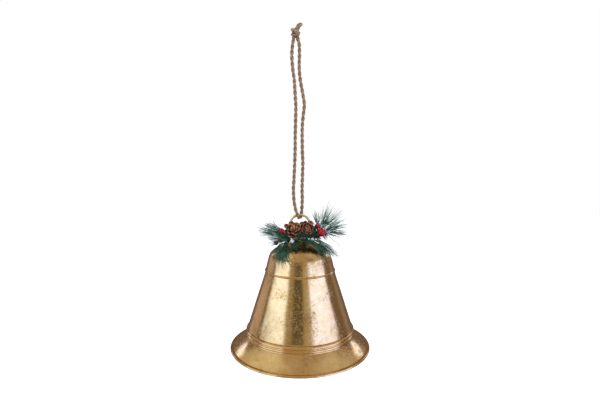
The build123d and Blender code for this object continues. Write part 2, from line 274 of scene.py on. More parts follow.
class Finish(Nodes):
    """A node material, whose patterns are laid out in metres."""

    def __init__(self, name):
        self.material = bpy.data.materials.new(name)
        self.material.use_nodes = True
        super().__init__(self.material.node_tree)
        self.shader = self.tree.nodes["Principled BSDF"]
        self.place = self.make("ShaderNodeTexCoord").outputs["Object"]

    def noise(self, size, detail=4.0, roughness=0.55, warp=0.0, stretch=None):
        """Noise whose blotches are about size metres across."""
        node = self.make("ShaderNodeTexNoise")
        node.inputs["Scale"].default_value = 1 / size
        node.inputs["Detail"].default_value = detail
        node.inputs["Roughness"].default_value = roughness
        node.inputs["Distortion"].default_value = warp
        source = self.place
        if stretch:
            mapping = self.make("ShaderNodeMapping")
            mapping.inputs["Scale"].default_value = stretch
            self.join(self.place, mapping.inputs["Vector"])
            source = mapping.outputs["Vector"]
        self.join(source, node.inputs["Vector"])
        return node.outputs["Fac"]

    def tone(self):
        """The tone that the mesh carries at each vertex."""
        return self.make("ShaderNodeAttribute", attribute_name="tone").outputs["Fac"]

    def bump(self, height, depth):
        """Raises the surface by depth metres where height is 1."""
        node = self.make("ShaderNodeBump")
        node.inputs["Distance"].default_value = depth
        self.join(height, node.inputs["Height"])
        return node.outputs["Normal"]

    def set(self, **inputs):
        """Feeds the shader's inputs, whose spaces are written as underscores, and returns the material."""
        for key, value in inputs.items():
            socket = self.shader.inputs[key.replace("_", " ")]
            if isinstance(value, tuple):
                value = (*value, 1.0)
            self.feed(socket, value)
        return self.material


# ================================================================ materials
GOLD = (0.86, 0.53, 0.175)
PALE_GOLD = (0.92, 0.62, 0.24)
DEEP_GOLD = (0.70, 0.38, 0.11)
PATINA = (0.20, 0.11, 0.040)
PATINA_SHARE = 0.75         # how much a speckle hides the metal under it


def aged_brass():
    """Leafed brass: pale worn metal, deeper leaf, and fine dark speckle gathered in clouds."""
    n = Finish("aged_brass")
    clouds = n.noise(0.034, 5.0, 0.6, 0.4)
    leaf = n.noise(0.009, 6.0, 0.65, 0.6)
    grain = n.noise(0.0018, 2.0, 0.5)
    freckles = n.span(n.noise(0.0024, 4.0, 0.75), 0.47, 0.62)
    flecks = n.noise(0.0034, 5.0, 0.78)
    colour = n.mix(n.span(leaf, 0.38, 0.62), GOLD, PALE_GOLD)
    colour = n.mix(n.span(clouds, 0.48, 0.72, 0.0, 0.6), colour, DEEP_GOLD)
    speckle = n.math("MULTIPLY", n.span(flecks, 0.47, 0.64), n.span(clouds, 0.50, 0.68, 0.0, PATINA_SHARE))
    colour = n.mix(speckle, colour, PATINA)
    matte = n.math("MULTIPLY", freckles, n.span(clouds, 0.40, 0.62, 0.03, 0.26))
    rough = n.math("ADD", n.span(grain, 0.35, 0.7, 0.14, 0.19), matte)
    rough = n.math("ADD", rough, n.math("MULTIPLY", speckle, 0.25))
    return n.set(Base_Color=colour, Metallic=1.0, Roughness=rough, Normal=n.bump(grain, 0.000012))


def wire_brass():
    """Drawn brass wire, brighter where it has worn."""
    n = Finish("wire_brass")
    worn = n.noise(0.004, 5.0, 0.6)
    fine = n.noise(0.0007, 3.0)
    colour = n.mix(n.span(worn, 0.35, 0.65), (0.58, 0.38, 0.16), (0.86, 0.66, 0.36))
    rough = n.span(fine, 0.3, 0.7, 0.2, 0.42)
    return n.set(Base_Color=colour, Metallic=0.7, Roughness=rough, Normal=n.bump(fine, 0.00005))


def plated_steel():
    """Nickel-plated steel with dull stains."""
    n = Finish("plated_steel")
    worn = n.noise(0.003, 5.0, 0.6)
    fine = n.noise(0.0005, 3.0)
    colour = n.mix(n.span(worn, 0.4, 0.65), (0.62, 0.60, 0.56), (0.36, 0.33, 0.29))
    rough = n.span(worn, 0.3, 0.7, 0.24, 0.5)
    return n.set(Base_Color=colour, Metallic=1.0, Roughness=rough, Normal=n.bump(fine, 0.00004))


def dark_iron():
    """The clapper's cast iron, with bronze paint left in patches."""
    n = Finish("dark_iron")
    worn = n.noise(0.007, 6.0, 0.65)
    fine = n.noise(0.0011, 4.0)
    colour = n.mix(n.span(worn, 0.5, 0.68), (0.10, 0.07, 0.045), (0.42, 0.27, 0.12))
    rough = n.span(fine, 0.3, 0.7, 0.28, 0.5)
    return n.set(Base_Color=colour, Metallic=0.85, Roughness=rough, Normal=n.bump(fine, 0.00012))


def jute():
    """Twisted bast fibre: tone runs from the groove between plies to their crests, and the grooves get
    painted shade.
    """
    n = Finish("jute")
    fibre = n.noise(0.0012, 5.0, 0.7, 0.0, (1.0, 1.0, 0.22))
    patches = n.noise(0.012, 3.0)
    colour = n.mix(n.span(fibre, 0.32, 0.68), (0.115, 0.066, 0.035), (0.245, 0.157, 0.096))
    colour = n.mix(n.span(patches, 0.4, 0.65, 0.0, 0.45), colour, (0.17, 0.098, 0.056))
    # painted shade: near-black brown in the grooves between plies, where the tone is low
    colour = n.mix(n.span(n.tone(), 0.05, 0.70, 0.85, 0.0), colour, (0.085, 0.048, 0.027))
    return n.set(
        Base_Color=colour, Roughness=0.85, Normal=n.bump(fibre, 0.0005),
        Sheen_Weight=0.25, Specular_IOR_Level=0.25,
    )


def cone_scale():
    """Dry cone scales: tone 0 is the stalk of a scale, painted near black as the shade between scales, and
    1 is its pale worn edge.
    """
    n = Finish("cone_scale")
    grain = n.noise(0.0011, 6.0, 0.7, 0.3)
    patches = n.noise(0.005, 3.0)
    colour = n.mix(n.span(grain, 0.3, 0.7), (0.030, 0.010, 0.006), (0.100, 0.034, 0.016))
    colour = n.mix(n.span(n.tone(), 0.6, 0.97), colour, (0.165, 0.064, 0.030))
    edge = n.math("MULTIPLY", n.span(n.tone(), 0.82, 1.0), n.span(patches, 0.42, 0.62))
    colour = n.mix(edge, colour, (0.40, 0.19, 0.085))
    # painted shade: near black towards each scale's stalk and on the core, for the gaps between scales
    colour = n.mix(n.span(n.tone(), 0.35, 0.85, 0.97, 0.0), colour, (0.007, 0.003, 0.002))
    return n.set(
        Base_Color=colour, Roughness=n.span(grain, 0.3, 0.7, 0.40, 0.65), Normal=n.bump(grain, 0.0003),
        Coat_Weight=0.12, Coat_Roughness=0.3,
    )


def lacquer(name, deep, bright):
    """A lacquered berry: mottled colour with a sharp, slightly warm gloss."""
    n = Finish(name)
    mottle = n.noise(0.0022, 4.0, 0.6)
    fine = n.noise(0.0008, 3.0)
    colour = n.mix(n.span(mottle, 0.35, 0.68), deep, bright)
    return n.set(
        Base_Color=colour, Roughness=n.span(fine, 0.3, 0.7, 0.08, 0.15), Normal=n.bump(mottle, 0.00004),
        Specular_IOR_Level=0.5, Specular_Tint=(1.0, 0.72, 0.42),
    )


def snow():
    """Grey-white flock on a bead."""
    n = Finish("snow_flock")
    grit = n.noise(0.0007, 5.0, 0.7)
    colour = n.mix(n.span(grit, 0.35, 0.6), (0.20, 0.19, 0.23), (0.46, 0.45, 0.50))
    return n.set(Base_Color=colour, Roughness=0.8, Normal=n.bump(grit, 0.0004), Subsurface_Weight=0.15)


def needle():
    """Pine needles: tone runs from near-black green, below 0, which is painted shade deep in the cluster,
    through mid green to thick white frosting at 1.
    """
    n = Finish("pine_needle")
    patches = n.noise(0.0018, 3.0)
    grit = n.noise(0.0009, 4.0, 0.7)
    # near-black green at low tone: painted shade among the sprigs, over the needles' own dark green
    colour = n.mix(n.span(n.tone(), -0.10, 0.28), (0.002, 0.010, 0.006), (0.026, 0.100, 0.050))
    colour = n.mix(n.span(patches, 0.42, 0.60, 0.0, 0.6), colour, (0.006, 0.024, 0.014))
    frost = n.span(n.math("ADD", n.tone(), n.span(grit, 0.3, 0.7, -0.25, 0.25)), 0.40, 0.90)
    colour = n.mix(frost, colour, (0.55, 0.60, 0.60))
    rough = n.span(frost, 0.0, 1.0, 0.36, 0.85)
    return n.set(Base_Color=colour, Roughness=rough, Normal=n.bump(grit, 0.00012))


def green_wire():
    """Floral wire in green paper wrap."""
    n = Finish("green_wire")
    wrap = n.noise(0.0015, 4.0, 0.6)
    colour = n.mix(n.span(wrap, 0.35, 0.65), (0.012, 0.045, 0.018), (0.035, 0.11, 0.04))
    rough = n.span(wrap, 0.3, 0.7, 0.35, 0.6)
    return n.set(Base_Color=colour, Roughness=rough, Normal=n.bump(wrap, 0.0001))


def glue():
    """Brown hot glue over green tape. Tone 1 is bright green moss."""
    n = Finish("glue_pad")
    lumps = n.noise(0.004, 5.0, 0.65)
    colour = n.mix(n.span(lumps, 0.4, 0.62), (0.045, 0.024, 0.010), (0.012, 0.028, 0.012))
    colour = n.mix(n.span(n.tone(), 0.55, 0.9), colour, (0.14, 0.42, 0.04))
    return n.set(
        Base_Color=colour, Roughness=n.span(lumps, 0.3, 0.7, 0.25, 0.7), Normal=n.bump(lumps, 0.0005),
        Coat_Weight=0.3, Coat_Roughness=0.2,
    )


BRASS = aged_brass()
WIRE_BRASS = wire_brass()
STEEL = plated_steel()
IRON = dark_iron()
JUTE = jute()
SCALE = cone_scale()
RED = lacquer("red_lacquer", (0.10, 0.0, 0.006), (0.33, 0.0, 0.014))
DARK = lacquer("dark_lacquer", (0.012, 0.008, 0.006), (0.045, 0.022, 0.014))
SNOW = snow()
NEEDLE = needle()
GREEN_WIRE = green_wire()
GLUE = glue()


# ================================================================ bell shells
SHELL_SEGMENTS = 300        # steps round a turned shell
SHEET = 0.9 * MM            # thickness of the sheet metal

CROWN_RADIUS = 67.8 * MM    # gentle curvature of the crown
CROWN_SWEEP = 26.3          # degrees of it, from the axis to the shoulder
SHOULDER_RADIUS = 17.3 * MM
DOME_TAPER = 13.5           # degrees between the dome's side and the vertical
SHANK_HOLE = 1.3 * MM       # radius of the hole for the crown eye
SOLDER_BEAD = 0.42 * MM     # radius of the bead that stands out of the dome's foot
BEAD_LUMPS = 0.20 * MM      # how uneven it is
DOME_FLARE = 0.30 * MM      # how far the dome's foot spreads over the cone
DOME_FLARE_HEIGHT = 4.5 * MM
SEAM_GAP = 0.05 * MM        # gap between pieces that butt together

CONE_TOP_RADIUS = 42.4 * MM
LAP_HALF_ANGLE = 2.5        # degrees of half the lap seam down the back of the cone
LAP_HEIGHT = 0.7 * MM
BACK = 90                   # direction of the back, in degrees from +X

RIDGE = 1.7 * MM            # radius of each ridge of the double bead
RIDGE_HEIGHTS = (23.6 * MM, 19.4 * MM)
FLARE_TOP = (66.0 * MM, 17.6 * MM)
FLARE_HOLLOW = 1.3 * MM     # how far the flare bows inwards from a straight line
RIM_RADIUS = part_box("flared_skirt")[1].x
RIM_BEAD = 1.5 * MM         # radius of the rolled rim
RIM_SINK = 0.2 * MM         # how much of it is worn flat underneath


def dents(point):
    """How far hand-worked sheet stands out of a true turned surface at a point."""
    broad = noise.noise(point / (24 * MM)) * 0.14 * MM
    small = noise.noise(point / (7 * MM) + Vector((3, 7, 11))) * 0.03 * MM
    return broad + small


def outward(point):
    return Vector((point.x, point.y, 0)).normalized()


def dome_outline():
    """The dome's closed outline, and which of its points are the solder bead."""
    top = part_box("crown_dome")[1].z
    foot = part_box("cone_body")[1].z + SEAM_GAP
    crown_centre = (0.0, top - CROWN_RADIUS)
    shoulder_start = math.radians(90 - CROWN_SWEEP)
    reach = CROWN_RADIUS - SHOULDER_RADIUS
    shoulder_centre = (reach * math.cos(shoulder_start), crown_centre[1] + reach * math.sin(shoulder_start))
    skins = []
    for inset in (0.0, SHEET):
        hole = math.degrees(math.asin(SHANK_HOLE / (CROWN_RADIUS - inset)))
        skin = arc(crown_centre, CROWN_RADIUS - inset, 90 - hole, 90 - CROWN_SWEEP, 22)
        skin += arc(shoulder_centre, SHOULDER_RADIUS - inset, 90 - CROWN_SWEEP, DOME_TAPER, 18)[1:]
        side_top = skin[-1]
        fall = side_top[1] - foot
        side_foot = (side_top[0] + fall * math.tan(math.radians(DOME_TAPER)), foot)
        skin += ramp_points(side_top, side_foot, 22)[1:]
        flared = []
        for radius, height in skin:
            spread = DOME_FLARE * clamp(1 - (height - foot) / DOME_FLARE_HEIGHT) ** 2
            flared.append((radius + spread, height))
        skins.append(flared)
    outer, inner = skins
    while outer[-1][1] < foot + 1.6 * SOLDER_BEAD:
        outer.pop()
    bead_centre = (inner[-1][0] + SHEET + SOLDER_BEAD / 2, foot + SOLDER_BEAD / 2)
    bead = arc(bead_centre, SOLDER_BEAD, 100, -35, 9)
    return outer + bead + inner[::-1], range(len(outer), len(outer) + len(bead))


def crown_dome():
    outline, bead = dome_outline()

    def shift(point, angle, k):
        moved = point + outward(point) * dents(point)
        if k in bead:
            lumps = noise.noise(Vector((math.cos(angle), math.sin(angle), 0)) * 9)
            lumps += 0.6 * noise.noise(Vector((math.cos(angle), math.sin(angle), 1)) * 30)
            moved += outward(point) * lumps * BEAD_LUMPS
        return moved

    shape = Shape()
    shape.lathe(outline, SHELL_SEGMENTS, shift)
    shape.piece("bell_crown_dome", BRASS, "bell", "aged_brass", "crown_dome")


def cone_body():
    low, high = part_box("cone_body")
    slope = (high.x - CONE_TOP_RADIUS) / (high.z - low.z)
    wall = SHEET * math.sqrt(1 + slope**2)
    outer = ramp_points((CONE_TOP_RADIUS, high.z), (high.x, low.z), 46)
    inner = [(radius - wall, height) for radius, height in outer]
    outline = outer + inner[::-1]

    def shift(point, angle, k):
        stand_out = dents(point)
        off_back = abs(math.degrees(angle) - BACK)
        if k < len(outer):
            stand_out += LAP_HEIGHT * (1 - smooth(off_back, LAP_HALF_ANGLE, LAP_HALF_ANGLE + 1))
        return point + outward(point) * stand_out

    shape = Shape()
    shape.lathe(outline, SHELL_SEGMENTS, shift)
    shape.piece("bell_cone_body", BRASS, "bell", "aged_brass", "cone_body")


def flared_skirt():
    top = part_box("flared_skirt")[1].z
    rim_centre = (RIM_RADIUS - RIM_BEAD, RIM_BEAD - RIM_SINK)
    run = Vector((rim_centre[0] - FLARE_TOP[0], rim_centre[1] - FLARE_TOP[1]))
    inward = Vector((run.y, -run.x)).normalized()
    middle = (Vector(FLARE_TOP) + Vector(rim_centre)) / 2 + inward * 2 * FLARE_HOLLOW
    outer = [(FLARE_TOP[0] - 0.3 * MM, top)]
    for height in RIDGE_HEIGHTS:
        outer += arc((FLARE_TOP[0] - SHEET / 2, height), RIDGE, 72, -72, 10)
    flare = [bezier(Vector(FLARE_TOP), middle, Vector(rim_centre), k / 26) for k in range(27)]
    outer += [tuple(point) for point in flare[1:-2]]
    rim = arc(rim_centre, RIM_BEAD, 118, -172, 18)
    rim = [(radius, max(height, 0.0)) for radius, height in rim]
    inner = [tuple(point + inward * SHEET) for point in flare[:-2]]
    inner.insert(0, (FLARE_TOP[0] - 2 * SHEET, top))
    outline = outer + rim + inner[::-1]

    def shift(point, angle, k):
        hold = smooth(point.z, 0.0, 4 * MM)
        return point + outward(point) * dents(point) * hold

    shape = Shape()
    shape.lathe(outline, SHELL_SEGMENTS, shift)
    shape.piece("bell_flared_skirt", BRASS, "bell", "aged_brass", "flared_skirt")


crown_dome()
cone_body()
flared_skirt()


# ================================================================ ring
RING_JOIN = 4.4             # where its ends meet, in radians from the top


def hanging_ring():
    """A ring of round wire in the XZ plane, slightly pinched where its ends meet."""
    low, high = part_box("hanging_ring")
    wire = (high.y - low.y) / 2
    radius = (high.x - low.x) / 2 - wire
    centre = (low + high) / 2
    steps, sides = 120, 20
    shape = Shape()
    verts, faces = [], []
    for k in range(steps):
        angle = TAU * k / steps
        way = Vector((math.sin(angle), 0, math.cos(angle)))
        pinch = 1 - 0.12 * math.exp(-((angle - RING_JOIN) / 0.03) ** 2)
        for side in range(sides):
            turn = TAU * side / sides
            lump = 1 + 0.03 * noise.noise(way * 6 + Vector((math.cos(turn), math.sin(turn), 0)))
            spread = way * math.cos(turn) + Vector((0, 1, 0)) * math.sin(turn)
            verts.append(centre + way * radius + spread * wire * pinch * min(lump, 1.0))
    for k in range(steps):
        here, there = k * sides, ((k + 1) % steps) * sides
        for side in range(sides):
            after = (side + 1) % sides
            faces.append((here + side, here + after, there + after, there + side))
    shape.add(verts, faces, [0.5] * len(verts))
    shape.piece("wire_ring", WIRE_BRASS, "ring", "ring_brass", "hanging_ring")


hanging_ring()


# ================================================================ cord
CORD_RADIUS = 2.2 * MM
CORD_STEP = 0.55 * MM       # gap between the points that plies are laid on
PLIES = 2
PLY_RADIUS = 1.32 * MM
PLY_SIDES = 9
LAY_LENGTH = 13.5 * MM      # length of cord in which a ply goes round once
RING_RADIUS = 12.2 * MM     # centre line of the hanging ring
RING_TOP = (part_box("hanging_ring")[0].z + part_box("hanging_ring")[1].z) / 2 + RING_RADIUS
BIGHT = 3.6 * MM            # radius of the cord's bend round the ring's wire
BIGHT_SKEW = 2.2 * MM       # how far that bend slants along the wire
KNOT = mm(-5.4, 0, 383.0)
KNOT_FOOT = KNOT.z - 5 * MM


def twisted_cord(shape, path, seed, start_turn=0.0):
    """Lays the plies round a path, and pulls a few loose fibres out of them."""
    rng = random.Random(seed)
    points = even_spacing(path, CORD_STEP)
    frames = frames_along(points)
    for ply in range(PLIES):
        centres, radii = [], []
        for k, (point, (side, up)) in enumerate(zip(points, frames)):
            turn = start_turn + TAU * (k * CORD_STEP / LAY_LENGTH + ply / PLIES)
            swell = 1 + 0.10 * noise.noise(point / (4 * MM) + Vector((ply * 5, seed, 0)))
            out = side * math.cos(turn) + up * math.sin(turn)
            centres.append(point + out * (CORD_RADIUS - PLY_RADIUS) * swell)
            radii.append(PLY_RADIUS * swell)
        lay_ply(shape, points, centres, radii)
    for _ in range(int(len(points) * 0.9)):
        k = rng.randrange(2, len(points) - 3)
        side, up = frames[k]
        turn = rng.uniform(0, TAU)
        out = side * math.cos(turn) + up * math.sin(turn)
        along = (points[k + 2] - points[k]).normalized()
        start = points[k] + out * CORD_RADIUS * 0.86
        reach = rng.uniform(0.8, 2.6) * MM
        lean = along * rng.uniform(0.5, 1.4) * rng.choice((-1, 1))
        tip = start + (out * rng.uniform(0.25, 0.7) + lean).normalized() * reach
        bend = start + lean.normalized() * reach * 0.5 + out * 0.1 * MM
        fibre = [bezier(start, bend, tip, step / 3) for step in range(4)]
        shape.tube(fibre, [0.055 * MM, 0.05 * MM, 0.04 * MM, 0.02 * MM], 3, [0.9] * 4)


def lay_ply(shape, axis, centres, radii):
    """One ply, whose tone is low where it faces the middle of the cord, for painted shade in the groove,
    and high on its crest.
    """
    verts, tones = [], []
    for middle, centre, radius, (side, up) in zip(axis, centres, radii, frames_along(centres)):
        out = (centre - middle).normalized()
        for k in range(PLY_SIDES):
            turn = TAU * k / PLY_SIDES
            way = side * math.cos(turn) + up * math.sin(turn)
            verts.append(centre + way * radius)
            # low tone, facing the middle of the cord, becomes painted shade in the jute material
            tones.append(clamp(0.5 + 0.6 * way.dot(out)))
    shape.add(verts, tube_faces(len(centres), PLY_SIDES), tones)


def hanging_loop():
    """The doubled cord: down from the knot on the left, round the ring's wire, and up on the right."""
    left = [
        KNOT + mm(-2.2, 0.8, -1), Vector((KNOT.x - 1.8 * MM, 0.0, KNOT_FOOT)),
        mm(-8.8, 0, 370), mm(-9.7, 0, 356), mm(-8.6, 0, 341), mm(-6.7, 0, 327), mm(-5.9, 0, 313),
        mm(-5.0, 0, 298), mm(-5.2, 0, 284), mm(-5.7, 0, 266), mm(-5.9, 0, 246), mm(-6.4, 0, 228),
        mm(-7.2, 0, 212), mm(-8.0, 0, 198), mm(-7.4, -0.6, 184), mm(-5.4, -2.0, 172.5),
    ]
    bight = []
    for step in range(9):
        angle = math.pi * step / 8
        skew = -math.cos(angle) * BIGHT_SKEW - 0.6 * MM
        bight.append(Vector((skew, -math.cos(angle) * BIGHT, RING_TOP - math.sin(angle) * BIGHT)))
    right = [
        mm(2.3, 2.0, 173), mm(2.8, 0.6, 184), mm(2.6, 0, 198), mm(3.0, 0, 213), mm(3.5, 0, 228),
        mm(2.9, 0, 245), mm(2.7, 0, 262), mm(3.0, 0, 277), mm(4.2, 0, 288), mm(5.2, 0, 300),
        mm(3.2, 0, 313), mm(0.6, 0, 327), mm(-0.8, 0, 341), mm(-0.6, 0, 358), mm(-0.9, 0, 370),
        Vector((KNOT.x + 2.4 * MM, 0.0, KNOT_FOOT)), KNOT + mm(2.0, -0.8, -1),
    ]
    shape = Shape()
    twisted_cord(shape, catmull(left + bight + right, 14), 3)
    shape.piece("jute_loop", JUTE, "cord", "jute", "hanging_cord")


def around_the_knot(*places):
    """A smooth path through places given in millimetres from the middle of the knot."""
    return catmull([KNOT + mm(*place) for place in places], 10)


def top_knot():
    """Turns wrapped round the doubled cord, one strand across them, and the two cut ends."""
    shape = Shape()
    wrap = []
    for step in range(57):
        share = step / 56
        turn = TAU * 2.35 * share + 0.6
        reach = lerp(2.3, 3.7, math.sin(math.pi * min(share + 0.1, 1.0))) * MM
        rise = lerp(-4.6, 3.2, share) * MM + 1.5 * MM * math.sin(turn + 0.9)
        drift = Vector((lerp(0.9, -0.6, share), 0, 0)) * MM
        wrap.append(KNOT + drift + Vector((reach * math.cos(turn), reach * 0.85 * math.sin(turn), rise)))
    twisted_cord(shape, wrap, 11, 1.0)
    across = around_the_knot((3.0, -2.6, -3.4), (0.4, -4.6, -0.6), (-3.2, -3.2, 2.6), (-3.0, 1.0, 4.2))
    twisted_cord(shape, across, 12, 2.0)
    front_end = around_the_knot((0.4, 0, 0), (2.2, -0.8, 4.0), (4.6, -0.6, 7.4), (7.0, 0, 11.2))
    twisted_cord(shape, front_end, 20)
    back_end = around_the_knot((-1.6, 0, 0), (0.2, 1.4, 4.6), (2.4, 1.6, 8.0), (5.0, 1.2, 10.4))
    twisted_cord(shape, back_end, 21, 0.7)
    shape.piece("jute_knot", JUTE, "cord", "jute")


hanging_loop()
top_knot()


# ================================================================ pine cones
SCALES = 30
SCALE_THICKNESS = 0.85 * MM
GOLDEN_ANGLE = math.radians(137.508)


def cone_scale_mesh(shape, root, way, up, length, width, curl):
    """One woody scale: it widens to a blunt tip, and its sides and tip turn up."""
    across_steps, along_steps = 8, 8
    side = way.cross(up).normalized()
    columns = across_steps + 1
    verts, tones = [], []
    for layer in (1, -1):
        for row in range(along_steps + 1):
            share = row / along_steps
            half = width / 2 * (0.34 + 0.66 * smooth(share, 0.0, 0.62))
            half *= math.sqrt(max(0.10, 1 - max(0.0, (share - 0.66) / 0.36) ** 2))
            middle = root + way * length * share + up * curl * share**2 * length
            depth = SCALE_THICKNESS * lerp(0.5, 1.0, smooth(share, 0.3, 0.9))
            for k in range(columns):
                over = 2 * k / across_steps - 1
                cup = 0.30 * half * over * over
                edge = 0.45 + 0.55 * math.sqrt(max(0.0, 1 - over**4))
                verts.append(middle + side * half * over + up * (layer * depth / 2 * edge + cup))
                rimness = max(abs(over) ** 3 * smooth(share, 0.25, 0.6), smooth(share, 0.62, 0.98))
                # low tone near a scale's root is painted near black, as shade between the scales
                tones.append(clamp(0.62 * share + 0.42 * rimness))
    layer_size = columns * (along_steps + 1)
    faces = []
    for row in range(along_steps):
        for k in range(across_steps):
            a = row * columns + k
            faces.append((a, a + 1, a + 1 + columns, a + columns))
            b = a + layer_size
            faces.append((b, b + columns, b + 1 + columns, b + 1))
    border = list(range(columns))
    border += [row * columns + across_steps for row in range(1, along_steps + 1)]
    border += [along_steps * columns + k for k in range(across_steps - 1, -1, -1)]
    border += [row * columns for row in range(along_steps - 1, 0, -1)]
    for a, b in zip(border, border[1:] + border[:1]):
        faces.append((b, a, a + layer_size, b + layer_size))
    shape.add(verts, faces, tones)


def pine_cone(node, stalk, tip_way, radius, length, seed):
    """Scales in a spiral round a core, wide open at the stalk and closing towards the tip."""
    rng = random.Random(seed)
    axis = Vector(tip_way).normalized()
    side = axis.orthogonal().normalized()
    up = axis.cross(side)
    shape = Shape()
    # the core's tone 0 is painted near black, as shade deep inside the cone
    core = [stalk + axis * length * share for share in (0.0, 0.15, 0.4, 0.65, 0.8)]
    shape.tube(core, [1.6 * MM, 2.6 * MM, 2.6 * MM, 1.8 * MM, 0.6 * MM], 10, [0.0] * 5)
    for k in range(SCALES):
        share = k / (SCALES - 1)
        turn = k * GOLDEN_ANGLE + rng.uniform(-0.10, 0.10)
        spoke = side * math.cos(turn) + up * math.sin(turn)
        open_angle = math.radians(lerp(102, 8, share**1.15) + rng.uniform(-6, 6))
        core_reach = lerp(2.2, 0.5, share) * MM
        root = stalk + axis * length * lerp(0.08, 0.70, share) + spoke * core_reach
        way = spoke * math.sin(open_angle) + axis * math.cos(open_angle)
        face = (axis * math.sin(open_angle) - spoke * math.cos(open_angle)).normalized()
        reach = (radius - 2 * MM) * (lerp(1.0, 0.60, share) * rng.uniform(0.90, 1.06))
        width = lerp(6.9, 4.2, share) * MM * rng.uniform(0.90, 1.10)
        cone_scale_mesh(shape, root, way, face, reach, width, lerp(0.24, 0.10, share))
    shape.piece(node + "_scales", SCALE, "bell", "pinecone", node)


pine_cone("pinecone_left", mm(-8.8, -7.5, 146.8), (0.05, -0.90, 0.36), 12.0 * MM, 17 * MM, 5)
pine_cone("pinecone_right", mm(7.6, -5.0, 149.6), (0.10, -0.97, 0.14), 11.4 * MM, 15 * MM, 9)


# ================================================================ berries and beads
def berry(node, material, slot, fullness=0.97):
    """A slightly uneven ball with a dimpled end that faces the front."""
    low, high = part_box(node)
    centre, radius = (low + high) / 2, (high.x - low.x) / 2 + 0.25 * MM
    front = Vector((0.25, -0.9, 0.3)).normalized()

    def uneven(unit):
        dimple = 0.09 * math.exp(-((1 - unit.dot(front)) / 0.02))
        return fullness + 0.03 * noise.noise(unit * 2 + centre * 100) - dimple

    shape = Shape()
    shape.ball(centre, (radius, radius, radius), 28, 40, uneven)
    shape.piece(node + "_ball", material, "bell", slot, node)


for red_berry in ("berry_left", "berry_right_upper", "berry_right_lower"):
    berry(red_berry, RED, "berry_red")
berry("dark_berry", DARK, "berry_dark")
berry("frosted_bead", SNOW, "snow_white", 0.95)


# ================================================================ pine sprigs
DOME_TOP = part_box("crown_dome")[1].z
SHOULDER_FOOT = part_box("cone_body")[1].z + 15.5 * MM       # where the dome's straight side begins
SHOULDER_FOOT_RADIUS = 39.2 * MM
NEEDLE_WIDTH = 0.38 * MM
SCATTER = 1.6 * MM          # how widely a spray's needles are rooted


def dome_radius(height):
    """Outer radius of the dome or cone at a height, for keeping needles off the metal."""
    fall = DOME_TOP - height
    if fall < 0:
        return 0.0
    crown = math.sqrt(max(0.0, CROWN_RADIUS**2 - (CROWN_RADIUS - fall) ** 2))
    side = SHOULDER_FOOT_RADIUS + (SHOULDER_FOOT - height) * math.tan(math.radians(DOME_TAPER))
    return min(crown, side)


def off_the_dome(point, gap):
    """The point itself, or the nearest one at its height that clears the metal by the gap."""
    reach = Vector((point.x, point.y, 0)).length
    least = dome_radius(point.z) + gap
    if reach >= least or reach < MM:
        return point
    return Vector((point.x * least / reach, point.y * least / reach, point.z))


def one_needle(shape, root, way, bend, length, width, frost_root, frost_tip):
    """A thin tapered blade, pushed clear of the dome, that bends a little to one side."""
    steps = 7
    middle = root + way * length * 0.5 + bend * length * 0.5
    tip = root + way * length + bend * length * 0.6
    points = [off_the_dome(bezier(root, middle, tip, k / steps), 2 * width) for k in range(steps + 1)]
    radii = [width * (1 - 0.78 * (k / steps) ** 3) for k in range(steps + 1)]
    tones = [lerp(frost_root, frost_tip, (k / steps) ** 1.3) for k in range(steps + 1)]
    shape.tube(points, radii, 4, tones, 0.6)


def spray(shape, rng, root, heading, half_angle, forward, count, lengths, frost):
    """Needles that leave from round one point and open like a fan.

    heading is the middle of the fan in degrees, 0 to the right and 90 up. forward is its lean to the front.
    lengths are the shortest and the longest needle. frost is the tone at a needle's root and at its tip.
    """
    bare, white = frost
    for _ in range(count):
        angle = math.radians(heading + half_angle * (rng.uniform(-1, 1) + 0.4 * rng.gauss(0, 1)))
        lean = math.radians(forward + rng.gauss(0, 11))
        way = Vector((math.cos(angle) * math.cos(lean), -math.sin(lean), math.sin(angle) * math.cos(lean)))
        start = root + Vector((rng.gauss(0, 0.6), rng.gauss(0, 0.6), rng.gauss(0, 0.6))) * SCATTER
        start += way * rng.uniform(-0.5, 3.0) * SCATTER
        across = Vector((-math.sin(angle), 0, math.cos(angle)))
        bend = across * rng.uniform(-0.16, 0.16) + Vector((0, rng.uniform(-0.06, 0.06), 0))
        length = lerp(lengths[0], lengths[1], rng.random() ** 0.8) * MM
        light = rng.uniform(-0.15, 0.15)
        width = NEEDLE_WIDTH * rng.uniform(0.8, 1.15)
        one_needle(shape, start, way, bend, length, width, bare + light, white + light)


def stem(shape, base, bend, tip):
    """The bare twig that a sprig's needles grow from."""
    path = [bezier(mm(*base), mm(*bend), mm(*tip), k / 12) for k in range(13)]
    path = [off_the_dome(point, 1.2 * MM) for point in path]
    shape.tube(path, [lerp(0.9, 0.5, k / 12) * MM for k in range(13)], 8, [0.05] * 13)


def crumbs(shape, rng, middle, spread, count):
    """White flock stuck between the needles."""
    for _ in range(count):
        place = mm(*middle) + mm(*[rng.gauss(0, reach) for reach in spread])
        size = rng.uniform(0.25, 0.65) * MM
        place = off_the_dome(place, size)
        flat = (size, size * rng.uniform(0.6, 1.0), size * rng.uniform(0.5, 0.9))
        shape.ball(place, flat, 5, 7, lambda unit: 1 + 0.35 * noise.noise(unit * 2 + place * 900), 1.0)


